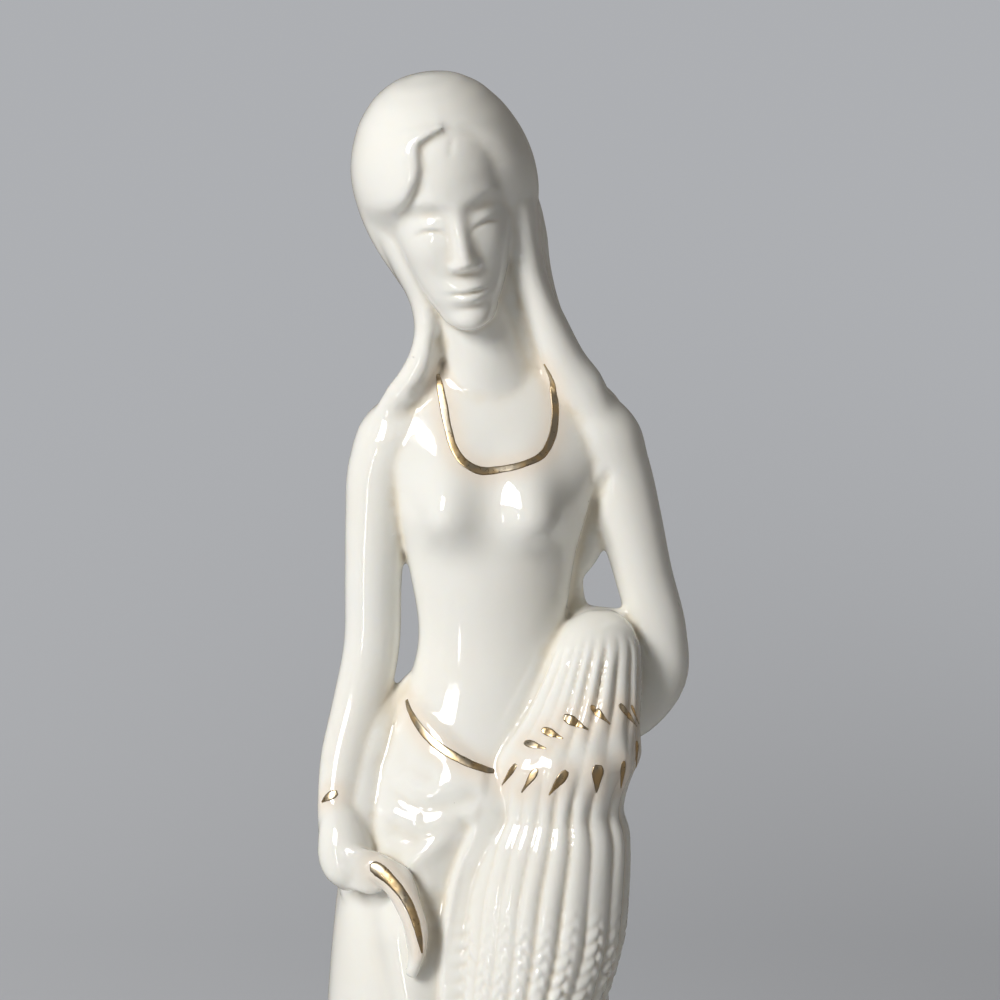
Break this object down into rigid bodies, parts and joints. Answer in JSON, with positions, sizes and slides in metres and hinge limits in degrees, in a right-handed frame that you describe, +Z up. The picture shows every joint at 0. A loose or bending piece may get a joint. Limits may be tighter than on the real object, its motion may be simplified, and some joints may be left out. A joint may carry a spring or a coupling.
{
  "type": "porcelain figurine",
  "caption": "Slim standing porcelain figurine of a woman at harvest, holding a sickle and a bound sheaf of corn on the hip, in a long skirt with a flat hollow foot.",
  "frame": {"origin": "middle of the foot, on the surface it stands on", "axes": "+Z up, -Y the front of the figure, +X the side of the sheaf"},
  "size_m": [0.0763, 0.0681, 0.3201],
  "materials": {
    "porcelain": "gloss"
  },
  "bodies": {
    "root": {"harvest_woman": "porcelain"}
  },
  "joints": []
}
